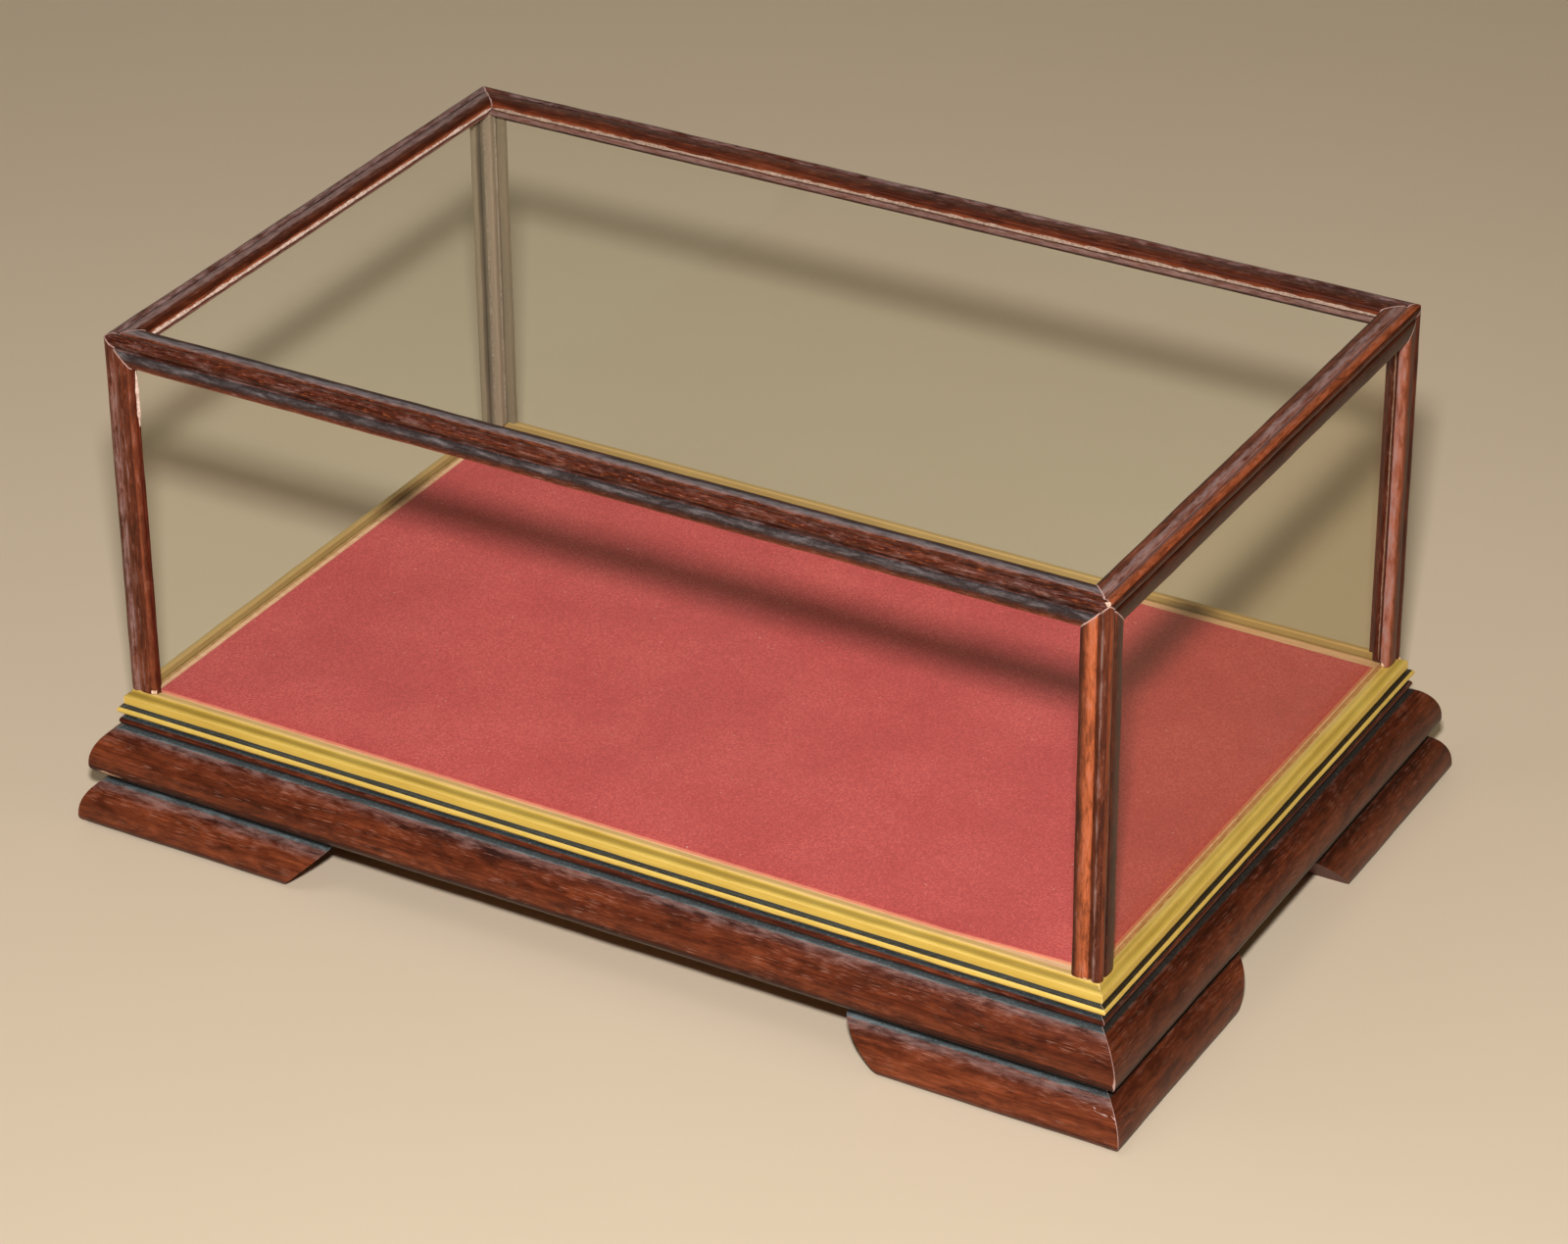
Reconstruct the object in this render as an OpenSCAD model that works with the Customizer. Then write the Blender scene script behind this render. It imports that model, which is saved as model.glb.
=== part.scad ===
// Table-top glazed display case: a lift-off glass cover with moulded wooden bars,
// standing on a moulded plinth with a gilt slip, a felt-covered board and four bracket feet.
// Millimetres. X runs along the front, -Y is the front, +Z is up.
// The origin is on the table under the middle of the case.
// Mouldings are drawn as outlines of (outward offset from the cover's face, height).

/* [Cover] */
// Width of the cover over its wooden bars
cover_w = 400; // [300:5:600]
// Depth of the cover over its wooden bars
cover_d = 250; // [200:5:400]
// Height of the cover from the foot of its posts to its top
cover_h = 146; // [100:1:300]
// Side of the square section of every bar
bar_w = 11.5; // [10:0.5:14]
// Radius of the bead on each bar's outer corner
bar_bead_r = 2.3; // [1.5:0.1:2.6]
// Gap between the resting cover and the gilt slip
seat_gap = 0.15; // [0.1:0.05:0.3]

/* [Glass] */
// Thickness of the glass
glass_t = 2; // [1.5:0.1:2.2]
// Distance from a bar's outer face to the glass
glass_set = 3.5; // [3.4:0.1:3.8]
// Width of each bar's rabbet, where the pane's edge lies
glass_bite = 3; // [2:0.5:3.5]

/* [Plinth] */
// Height of the bracket feet, up to the underside of the plinth
foot_h = 20.6; // [20:0.1:24]
// Height of the mahogany plinth moulding
plinth_h = 22.9; // [22.5:0.1:24]
// Height of the gilt slip
gilt_h = 10.5; // [10.4:0.1:11]
// Outward reach of the plinth moulding beyond the cover
plinth_out = 12.7; // [12:0.1:14]
// Outward reach of the feet beyond the cover
foot_out = 16.5; // [15:0.1:18]
// Length of each foot leg along its top edge, from the outer corner
leg_l = 109; // [60:1:115]
// Thickness of a foot leg behind the cover's face line
leg_back = 2; // [1:0.5:4]

/* [Base board] */
// Thickness of the base board
board_t = 13.6; // [12:0.1:15]
// Thickness of the felt on the board
felt_t = 0.8; // [0.5:0.1:1]
// Inset of the board's edge from the cover's outer face
board_in = 5.9; // [5.7:0.1:6.2]
// Inset of the felt's edge from the cover's outer face
felt_in = 8.8; // [8.6:0.1:12]
// Inset of the gilt slip's inner edge from the cover's outer face
slip_in = 3.2; // [3:0.1:3.3]

/* [Hidden] */

// Depth of the board's face below the top of the gilt slip
board_drop = 2;

// Half sizes of the cover, and the heights where one layer ends and the next begins
half_w = cover_w / 2;
half_d = cover_d / 2;
plinth_top = foot_h + plinth_h;
gilt_top = plinth_top + gilt_h;
board_top = gilt_top - board_drop;
board_bottom = board_top - board_t;
felt_top = board_top + felt_t;
cover_bottom = gilt_top + seat_gap;
cover_top = cover_bottom + cover_h;

// The thumb moulding that the plinth and the feet share
thumb_r = 15.9;
plinth_nose_up = 3.7;
plinth_nose_r = 4.3;
foot_nose_up = 3.4;
foot_nose_r = 3.6;
foot_quirk_h = 3.4;
foot_quirk_out = 7.4;

// The plinth's bead and the thumb's upper end: radius, reach, and depths below the plinth's top
bead_r = 1.5;
bead_out = 3.7;
bead_drop = 2.3;
thumb_drop = 5.3;
quirk = 0.3;

// The gilt slip's bead and dark quirk: radius, reach, and heights above the plinth's top
slip_bead_r = 1.3;
slip_base_out = 1.8;
slip_bead_out = 4.1;
slip_bead_up = 2.3;
slip_floor_out = 1.2;
slip_fillet_up = 4.4;

// The gilt slip's upper member: a face with a rounded arris, a hollow and a rounded lip
slip_face_out = 2.05;
slip_arris_up = 7.7;
slip_arris_r = 0.5;
slip_hollow_out = 1.5;
slip_hollow_drop = 0.4;
slip_hollow_r = 1.9;
slip_lip_out = -0.3;
slip_lip_r = 1.1;

// The plinth's inner face, and the channel around the board where the side panes hang
plinth_in = 14;
channel_depth = 3;
glass_hang = 2.6;

// The quirk beside each bar's bead, the crown of its faces, and the rounding of its edges and core
bar_quirk_depth = 0.95;
bar_quirk_w = 0.6;
bar_quirk_slope = 0.2;
bar_crown_r = 14;
bar_edge_r = 1.6;
bar_core_r = 1;

// The glue blocks behind the feet and the screws that hold the board
block_side = 34;
block_chamfer = 8;
block_gap_below = 2.6;
screw_r = 1.6;
screw_head_r = 3.4;
screw_len = 28;
screw_in = 10;

// Larger than any piece, for the mitre cuts
reach = 260;

mahogany = [0.36, 0.13, 0.09];
gilt = [0.80, 0.64, 0.25];
pine = [0.83, 0.63, 0.42];
crimson = [0.69, 0.25, 0.27];
clear_glass = [0.80, 0.86, 0.84, 0.35];
steel = [0.62, 0.60, 0.56];

// Sides are numbered 0 front, 1 right, 2 back and 3 left; each is drawn as a front and turned
function half_run(side) = side % 2 == 0 ? half_w : half_d;
function half_out(side) = side % 2 == 0 ? half_d : half_w;

// Points on an arc from angle a0 to angle a1, in steps of about ten degrees
function arc(cx, cy, r, a0, a1) =
    let (n = max(2, round(abs(a1 - a0) / 10)))
    [for (i = [0 : n]) let (a = a0 + (a1 - a0) * i / n) [cx + r * cos(a), cy + r * sin(a)]];

// A thumb moulding from its upper end down to its underside at z_low
function thumb(nose_out, nose_z, z_high, nose_r, z_low) = concat(
    arc(nose_out - thumb_r, nose_z, thumb_r, asin((z_high - nose_z) / thumb_r), 0),
    arc(nose_out - nose_r, nose_z, nose_r, -1, -asin((nose_z - z_low) / nose_r)));

// Outline of the plinth moulding: bead, quirk and thumb outside, a ledge for the board inside
function plinth_outline() =
    let (bead_x = bead_out - bead_r, bead_z = plinth_top - bead_drop, thumb_top = plinth_top - thumb_drop)
    concat(
        [[-board_in, plinth_top], [bead_x - quirk, plinth_top], [bead_x - quirk, bead_z + bead_r]],
        arc(bead_x, bead_z, bead_r, 90, -90),
        [[bead_x + quirk, bead_z - bead_r - quirk], [bead_out - quirk, thumb_top + 2 * quirk]],
        thumb(plinth_out, foot_h + plinth_nose_up, thumb_top, plinth_nose_r, foot_h),
        [[-plinth_in, foot_h], [-plinth_in, board_bottom], [-board_in, board_bottom]]);

// Outline of the gilt slip: two gilded members, a dark quirk between, and the channel's floor
function gilt_outline() =
    let (bead_x = slip_bead_out - slip_bead_r, bead_z = plinth_top + slip_bead_up,
         fillet_z = plinth_top + slip_fillet_up, lip_x = slip_lip_out - slip_lip_r)
    concat(
        [[-board_in, plinth_top], [slip_base_out, plinth_top], [bead_x, bead_z - slip_bead_r]],
        arc(bead_x, bead_z, slip_bead_r, -90, 90),
        [[slip_floor_out, bead_z + slip_bead_r], [slip_floor_out, fillet_z], [slip_face_out, fillet_z]],
        arc(slip_face_out - slip_arris_r, plinth_top + slip_arris_up, slip_arris_r, 0, 80),
        arc(slip_hollow_out, gilt_top - slip_hollow_drop, slip_hollow_r, -100, -170),
        arc(lip_x, gilt_top - slip_lip_r, slip_lip_r, 20, 90),
        [[-slip_in, gilt_top], [-slip_in, gilt_top - channel_depth], [-board_in, gilt_top - channel_depth]]);

// Outline of a foot leg: the thumb moulding again under a tall quirk
function foot_outline() = concat(
    [[-leg_back, foot_h], [foot_quirk_out, foot_h], [foot_quirk_out, foot_h - foot_quirk_h]],
    thumb(foot_out, foot_nose_up, foot_h - foot_quirk_h, foot_nose_r, 0),
    [[-leg_back, 0]]);

// Half of a bar's outline, from the middle of its corner bead, round the rabbet, to its inner corner
function half_bar() =
    let (b = bar_bead_r, q = bar_quirk_depth, e = bar_edge_r, r = bar_crown_r, core = bar_w - glass_bite,
         a_quirk = asin((b - q) / b), flank0 = b + b * cos(a_quirk) + bar_quirk_w,
         flank1 = bar_w - e, mid = (flank0 + flank1) / 2, half = (flank1 - flank0) / 2,
         sag = r - sqrt(r * r - half * half), a_flank = asin(half / r))
    concat(
        arc(b, b, b, -135, -a_quirk),
        [[flank0 - bar_quirk_slope, q]],
        arc(mid, r, r, -90 - a_flank, -90 + a_flank),
        arc(bar_w - e, sag + e, e, -80, 0),
        [[bar_w, glass_set], [core, glass_set]],
        arc(core - bar_core_r, core - bar_core_r, bar_core_r, 0, 45));

// The whole outline: the half and its reflection in the diagonal, with the shared ends once
function bar_outline() =
    let (h = half_bar(), n = len(h))
    concat(h, [for (i = [n - 2 : -1 : 1]) [h[i][1], h[i][0]]]);

// Everything on one side of the case between its two mitres, in plan
module mitre_wedge(side) {
    d = half_run(side) - half_out(side);
    far = reach + d;
    linear_extrude(height = 2 * reach, center = true)
        polygon(concat([[-far, -reach], [far, -reach]], d > 0 ? [[d, 0], [-d, 0]] : [[0, d]]));
}

// A moulding outline run along one side and cut to its mitres
module mitred_run(side, outline) {
    rotate([0, 0, 90 * side])
        intersection() {
            translate([0, -half_out(side), 0])
                mirror([0, 1, 0])
                    rotate([90, 0, 90])
                        linear_extrude(height = 2 * reach, center = true)
                            polygon(outline);
            mitre_wedge(side);
        }
}

// The screws of the base board: three under each long side, two under each short side
module each_screw() {
    for (side = [0 : 3])
        for (place = side % 2 == 0 ? [-0.75, 0, 0.75] : [-0.5, 0.5])
            rotate([0, 0, 90 * side])
                translate([place * half_run(side), -half_out(side) + screw_in, foot_h])
                    children();
}

module screw() {
    cylinder(h = screw_len, r = screw_r, $fn = 32);
    cylinder(h = screw_head_r - screw_r, r1 = screw_head_r, r2 = screw_r, $fn = 32);
}

module plinth_moulding(side) {
    color(mahogany)
        difference() {
            mitred_run(side, plinth_outline());
            each_screw() screw();
        }
}

module gilt_slip(side) {
    color(gilt)
        mitred_run(side, gilt_outline());
}

// One leg of a bracket foot; hand is 1 for the leg at the side's right end, -1 for the left
module foot_leg(side, hand) {
    corner = half_run(side) + foot_out;
    foot_end = corner - leg_l;
    slant = foot_h - foot_quirk_h;
    color(mahogany)
        intersection() {
            mitred_run(side, foot_outline());
            rotate([0, 0, 90 * side])
                mirror([hand > 0 ? 0 : 1, 0, 0])
                    rotate([90, 0, 0])
                        linear_extrude(height = 2 * reach, center = true)
                            polygon([[foot_end, foot_h], [foot_end, slant], [foot_end + slant, 0],
                                     [reach, 0], [reach, foot_h]]);
        }
}

// Corners are given as the signs of their x and y
module foot_block(sx, sy) {
    in_x = half_w - leg_back;
    in_y = half_d - leg_back;
    color(pine)
        translate([0, 0, block_gap_below])
            linear_extrude(height = foot_h - block_gap_below)
                polygon([[sx * in_x, sy * in_y], [sx * (in_x - block_side), sy * in_y],
                         [sx * (in_x - block_side), sy * (in_y - block_chamfer)],
                         [sx * (in_x - block_chamfer), sy * (in_y - block_side)],
                         [sx * in_x, sy * (in_y - block_side)]]);
}

// A flat rectangle, inset from the cover's outer faces
module inset_plate(inset, thickness) {
    linear_extrude(height = thickness)
        square([cover_w - 2 * inset, cover_d - 2 * inset], center = true);
}

module base_board() {
    color(pine)
        difference() {
            translate([0, 0, board_bottom])
                inset_plate(board_in, board_t);
            each_screw() screw();
        }
}

module felt_lining() {
    color(crimson)
        translate([0, 0, board_top])
            inset_plate(felt_in, felt_t);
}

module board_screws() {
    color(steel)
        each_screw() screw();
}

// A rail of the cover's top frame, mitred to its neighbours and to the posts
module top_rail(side) {
    run = half_run(side);
    color(mahogany)
        intersection() {
            mitred_run(side, [for (p = bar_outline()) [-p[0], cover_top - p[1]]]);
            rotate([0, 0, 90 * side])
                rotate([90, 0, 0])
                    linear_extrude(height = 2 * reach, center = true)
                        polygon([[-run, cover_top], [-run + 2 * bar_w, cover_top - 2 * bar_w],
                                 [run - 2 * bar_w, cover_top - 2 * bar_w], [run, cover_top]]);
        }
}

// A corner post, drawn at the front left corner and mirrored; its top is cut to the three-way mitre
module post(sx, sy) {
    top_cut = [[0, 0], [2 * bar_w, 0], [2 * bar_w, cover_h - 2 * bar_w], [0, cover_h]];
    color(mahogany)
        mirror([sx > 0 ? 1 : 0, 0, 0])
            mirror([0, sy > 0 ? 1 : 0, 0])
                translate([-half_w, -half_d, cover_bottom])
                    intersection() {
                        linear_extrude(height = cover_h)
                            polygon(bar_outline());
                        rotate([90, 0, 0])
                            linear_extrude(height = 4 * bar_w, center = true)
                                polygon(top_cut);
                        rotate([90, 0, 90])
                            linear_extrude(height = 4 * bar_w, center = true)
                                polygon(top_cut);
                    }
}

// An upright pane on one side; it hangs below the posts into the channel inside the gilt slip
module side_glass(side) {
    pane_edge = bar_w - glass_bite;
    low = cover_bottom - glass_hang;
    color(clear_glass)
        rotate([0, 0, 90 * side])
            translate([-half_run(side) + pane_edge, -half_out(side) + glass_set, low])
                cube([2 * (half_run(side) - pane_edge), glass_t, cover_top - pane_edge - low]);
}

module glass_top() {
    pane_edge = bar_w - glass_bite;
    color(clear_glass)
        translate([-half_w + pane_edge, -half_d + pane_edge, cover_top - glass_set - glass_t])
            cube([cover_w - 2 * pane_edge, cover_d - 2 * pane_edge, glass_t]);
}

plinth_moulding(0);  // plinth_moulding_front
plinth_moulding(1);  // plinth_moulding_right
plinth_moulding(2);  // plinth_moulding_back
plinth_moulding(3);  // plinth_moulding_left
gilt_slip(0);  // gilt_slip_front
gilt_slip(1);  // gilt_slip_right
gilt_slip(2);  // gilt_slip_back
gilt_slip(3);  // gilt_slip_left
foot_leg(0, -1);  // foot_front_left_leg
foot_leg(0, 1);  // foot_front_right_leg
foot_leg(1, -1);  // foot_right_front_leg
foot_leg(1, 1);  // foot_right_back_leg
foot_leg(2, -1);  // foot_back_right_leg
foot_leg(2, 1);  // foot_back_left_leg
foot_leg(3, -1);  // foot_left_back_leg
foot_leg(3, 1);  // foot_left_front_leg
foot_block(-1, -1);  // foot_block_front_left
foot_block(1, -1);  // foot_block_front_right
foot_block(1, 1);  // foot_block_back_right
foot_block(-1, 1);  // foot_block_back_left
base_board();
felt_lining();
board_screws();
top_rail(0);  // top_rail_front
top_rail(1);  // top_rail_right
top_rail(2);  // top_rail_back
top_rail(3);  // top_rail_left
post(-1, -1);  // post_front_left
post(1, -1);  // post_front_right
post(1, 1);  // post_back_right
post(-1, 1);  // post_back_left
glass_top();
side_glass(0);  // glass_front
side_glass(1);  // glass_right
side_glass(2);  // glass_back
side_glass(3);  // glass_left
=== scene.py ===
"""A glazed table-top display case: a lift-off cover of moulded mahogany bars and five panes on a
moulded plinth with a gilt slip, a felt-covered board and bracket feet. Metres, +Z up, front at -Y.

Lengths of mouldings are written in millimetres and turned into metres by MM. A moulding's outline is
a list of (zone, points); points are (outward offset from the cover's face, height) for the plinth, the
gilt slip and the feet, and (depth from one outer face, depth from the other) for the cover's bars.
"""
import math

import bpy
import numpy as np
from mathutils import Matrix, Vector


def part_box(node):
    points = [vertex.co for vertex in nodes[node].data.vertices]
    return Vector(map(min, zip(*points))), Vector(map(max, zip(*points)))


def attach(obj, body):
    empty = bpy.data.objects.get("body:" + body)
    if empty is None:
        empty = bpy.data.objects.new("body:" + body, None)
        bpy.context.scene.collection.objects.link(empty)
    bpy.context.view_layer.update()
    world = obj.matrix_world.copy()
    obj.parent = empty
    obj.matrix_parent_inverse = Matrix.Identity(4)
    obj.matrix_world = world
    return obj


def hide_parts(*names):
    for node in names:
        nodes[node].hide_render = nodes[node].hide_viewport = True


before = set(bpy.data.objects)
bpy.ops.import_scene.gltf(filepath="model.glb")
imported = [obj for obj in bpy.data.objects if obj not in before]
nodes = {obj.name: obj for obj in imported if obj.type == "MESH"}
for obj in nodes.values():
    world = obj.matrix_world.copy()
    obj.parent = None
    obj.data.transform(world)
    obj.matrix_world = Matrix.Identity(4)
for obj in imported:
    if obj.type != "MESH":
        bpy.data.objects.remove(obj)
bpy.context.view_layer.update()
MM = 0.001


def top_of(node):
    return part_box(node)[1].z / MM


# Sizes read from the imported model, in millimetres
HALF_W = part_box("top_rail_right")[1].x / MM
HALF_D = -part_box("top_rail_front")[0].y / MM
COVER_TOP = top_of("top_rail_front")
COVER_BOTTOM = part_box("post_front_left")[0].z / MM
FOOT_H = top_of("foot_front_left_leg")
PLINTH_TOP = top_of("plinth_moulding_front")
GILT_TOP = top_of("gilt_slip_front")
BOARD_TOP = top_of("base_board")
FELT_TOP = top_of("felt_lining")
BOARD_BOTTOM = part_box("base_board")[0].z / MM
BOARD_IN = HALF_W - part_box("base_board")[1].x / MM
PLINTH_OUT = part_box("plinth_moulding_front")[1].x / MM - HALF_W
FOOT_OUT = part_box("foot_front_right_leg")[1].x / MM - HALF_W
LEG_L = HALF_W + FOOT_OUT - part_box("foot_front_right_leg")[0].x / MM
# The bars' width and the width inside their panes' rabbets, and how deep a pane's two faces lie in a bar
BAR = 11.5
CORE = BAR - 3
PANE_OUT, PANE_IN = 3.5, 5.5
# The thumb moulding's radius, and on the feet the heights of its nose's centre and of its upper edge
THUMB_R = 15.9
FOOT_NOSE_Z = 3.4
FOOT_LEDGE = FOOT_H - 3.4

SIDES = ("front", "right", "back", "left")
CORNERS = {"front_left": (-1, -1), "front_right": (1, -1), "back_right": (1, 1), "back_left": (-1, 1)}


# ---------------------------------------------------------------- outlines

def arc(cx, cy, r, a0, a1, step=6):
    """Points on an arc, angles in degrees."""
    n = max(2, int(abs(a1 - a0) / step))
    angles = np.radians(np.linspace(a0, a1, n + 1))
    return [(cx + r * math.cos(a), cy + r * math.sin(a)) for a in angles]


def degrees_up(height, radius):
    """The angle at which a circle of this radius is at this height above its centre."""
    return math.degrees(math.asin(height / radius))


def thumb(out, nose_z, high, nose_r, low):
    """The thumb moulding that the plinth and the feet share, from its upper edge to its underside."""
    return [
        ("torus", arc(out - THUMB_R, nose_z, THUMB_R, degrees_up(high - nose_z, THUMB_R), 0, 2)),
        ("nose", arc(out - nose_r, nose_z, nose_r, 0, -degrees_up(nose_z - low, nose_r))),
    ]


def plinth_outline():
    top, low = PLINTH_TOP, FOOT_H
    bead_x, bead_z, bead_r = 2.2, top - 2.3, 1.5
    ledge_z, shelf = top - 5.3, -14
    return [
        ("hidden", [(-BOARD_IN, top), (bead_x - 0.9, top)]),
        ("neck", [(bead_x - 0.9, top), (bead_x - 0.3, top - 0.1), (bead_x - 0.3, bead_z + bead_r)]),
        ("quirk", arc(bead_x, bead_z, bead_r, 90, 48)),
        ("bead", arc(bead_x, bead_z, bead_r, 48, -55)),
        ("quirk", arc(bead_x, bead_z, bead_r, -55, -90) + [(bead_x + 0.3, bead_z - bead_r - 0.5)]),
        ("ledge", [(bead_x + 0.3, bead_z - bead_r - 0.5), (3.4, top - 4.7), (4.52, ledge_z)]),
    ] + thumb(PLINTH_OUT, low + 3.7, ledge_z, 4.3, low) + [
        ("hidden", [(10.6, low), (shelf, low), (shelf, BOARD_BOTTOM), (-BOARD_IN, BOARD_BOTTOM),
                    (-BOARD_IN, top)]),
    ]


def gilt_outline():
    base, top = PLINTH_TOP, GILT_TOP
    bead_x, bead_z, bead_r = 2.8, base + 2.3, 1.3
    fillet_z, channel_z = base + 4.4, top - 3
    return [
        ("hidden", [(-BOARD_IN, base), (0.9, base)]),
        ("quirk", [(0.9, base), (1.8, base + 0.1), (2.5, bead_z - bead_r)]
         + arc(bead_x, bead_z, bead_r, -90, -62)),
        ("gold_bead", arc(bead_x, bead_z, bead_r, -62, 66)),
        ("quirk", arc(bead_x, bead_z, bead_r, 66, 90)
         + [(1.3, bead_z + bead_r), (1.3, fillet_z), (1.8, fillet_z)]),
        ("arris", [(1.8, fillet_z), (2.05, fillet_z + 0.2)] + arc(1.55, base + 7.7, 0.5, 0, 80)),
        ("hollow", arc(1.5, top - 0.4, 1.9, -100, -170)),
        ("lip", arc(-1.4, top - 1.1, 1.1, 20, 90) + [(-1.9, top)]),
        ("raw", [(-1.9, top), (-3.0, top), (-3.2, top - 0.25), (-3.2, channel_z), (-BOARD_IN, channel_z)]),
        ("hidden", [(-BOARD_IN, channel_z), (-BOARD_IN, base)]),
    ]


def foot_outline():
    top = FOOT_H
    return [
        ("hidden", [(-2, top), (7.0, top)]),
        ("quirk", [(7.0, top), (7.4, top - 0.3), (7.4, top - 3.3)]),
        ("ledge", [(7.4, top - 3.3), (8.5, FOOT_LEDGE)]),
    ] + thumb(FOOT_OUT, FOOT_NOSE_Z, FOOT_LEDGE, 3.6, 0) + [
        ("hidden", [(14.1, 0), (-2, 0), (-2, top)]),
    ]


def half_bar():
    """From the middle of a bar's corner bead, round the rabbet where the glass lies, to its inner corner."""
    bead_r, quirk, edge_r, flank_r = 2.3, 0.95, 1.6, 14
    turn = degrees_up(bead_r - quirk, bead_r)
    quirk_end = bead_r + bead_r * math.cos(math.radians(turn)) + 0.6
    middle, half = (quirk_end + BAR - edge_r) / 2, (BAR - edge_r - quirk_end) / 2
    sag = flank_r - math.sqrt(flank_r * flank_r - half * half)
    flank = degrees_up(half, flank_r)
    return [
        ("bead", arc(bead_r, bead_r, bead_r, -135, -turn - 12)),
        ("quirk", arc(bead_r, bead_r, bead_r, -turn - 12, -turn)
         + [(quirk_end - 0.2, quirk), (quirk_end, sag + 0.1)]),
        ("flank", arc(middle, flank_r, flank_r, -90 - flank, -90 + flank, 2)),
        ("edge", arc(BAR - edge_r, sag + edge_r, edge_r, -80, 0)),
        ("inner", [(BAR, sag + edge_r), (BAR, PANE_OUT)]),
        ("hidden", [(BAR, PANE_OUT), (CORE, PANE_OUT), (CORE, PANE_IN - 0.1)]),
        ("inside", [(CORE, PANE_IN - 0.1), (CORE, CORE - 1)] + arc(CORE - 1, CORE - 1, 1, 0, 45)),
    ]


# Where a bar's end face folds: from its bead to its inner corner
BAR_FOLD = ((0.67, 0.67), (CORE - 0.29, CORE - 0.29))


def bar_outline():
    """The half outline and its reflection; zones of the reflected half end in a prime."""
    half = half_bar()
    return half + [(zone + "'", [(v, u) for u, v in reversed(points)]) for zone, points in reversed(half)]


# Spacing of the outline's points in each zone
SPACING = {"hidden": 2.5, "torus": 0.42, "nose": 0.36, "ledge": 0.25, "quirk": 0.22, "bead": 0.25,
           "neck": 0.22, "gold_bead": 0.22, "arris": 0.22, "hollow": 0.25, "lip": 0.25, "raw": 0.3,
           "flank": 0.3, "edge": 0.25, "inner": 0.35, "inside": 0.6}

# How much of each finish a zone has, from its start to its end (from the bead inwards on a bar):
# paint is black, dust is a pale film of dust and in places a painted sheen and highlight, glow is
# polish worn to a lighter brown and in places a painted highlight, shade is painted shade on
# undersides, in hollows and on faces turned from the light, dash is pale filler in the pores, scuff is
# rubbed polish, bare is unfinished wood
# On the plinth and the feet, shade on the nose is painted shade on the underside, and dust on the neck, the
# ledge and the top of the torus is partly a painted sheen
PLINTH_LOOK = {
    "paint": {"neck": [1], "quirk": [1], "ledge": [1, 1, 0.9], "torus": [0.4, 0, 0, 0, 0, 0, 0, 0]},
    "dust": {"neck": [0, 0.8, 0], "ledge": [0, 0.1, 0.3, 0.9], "torus": [0.8, 0.4, 0.25, 0.2, 0.1, 0, 0]},
    "glow": {"torus": [0, 0, 0.1, 0.1, 0.05, 0.15, 0.2]},
    "shade": {"torus": [0, 0, 0, 0, 0.1, 0.3], "nose": [0.5, 1, 1]},
    "dash": {"torus": [0.6, 1, 1, 0.6, 0.3, 0.1, 0, 0]},
}
FOOT_LOOK = {
    "paint": {"quirk": [1], "ledge": [1], "torus": [0.8, 0.3, 0, 0, 0, 0, 0, 0, 0, 0]},
    "dust": {"ledge": [0.3], "torus": [0.6, 0.7, 0.4, 0.2, 0.1, 0, 0]},
    "glow": {"torus": [0, 0, 0.1, 0.15, 0.1, 0.2, 0.2], "nose": [0.1, 0]},
    "shade": {"nose": [0, 0.3, 1]},
    "dash": {"torus": [0.2, 0.8, 0.8, 0.5, 0.3, 0.1, 0, 0]},
}
# On the gilt, shade in the hollow and the channel is painted shade, glow on the arris and the bead is
# painted highlight, and dust on the lip is partly a painted highlight
GILT_LOOK = {
    "paint": {"quirk": [1]},
    "dust": {"quirk": [0, 0.5, 0.8, 0.3], "lip": [0.3, 0.8, 1], "raw": [1, 1, 0.8, 0.4, 0.2],
             "arris": [0.2, 0]},
    "glow": {"arris": [0.3, 1], "gold_bead": [0, 0.4, 1, 1]},
    "shade": {"hollow": [0.1, 0.9, 0.7, 0.2], "raw": [0, 0, 0, 0.3, 0.8]},
    "bare": {"raw": [0, 0, 0, 0.7, 1]},
}
# On the right side the gilt has more painted highlight, and no painted shade in its hollow
GILT_SIDE_LOOK = {
    **GILT_LOOK,
    "dust": {"lip": [0, 0.2, 0.4], "raw": [0.5, 0.6, 0.7, 0.3, 0.2]},
    "glow": {"arris": [1, 0.8, 0.5], "hollow": [0.3, 0.3], "gold_bead": [0.8, 0.8]},
    "shade": {"raw": [0, 0, 0, 0.3, 0.8]},
}
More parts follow.
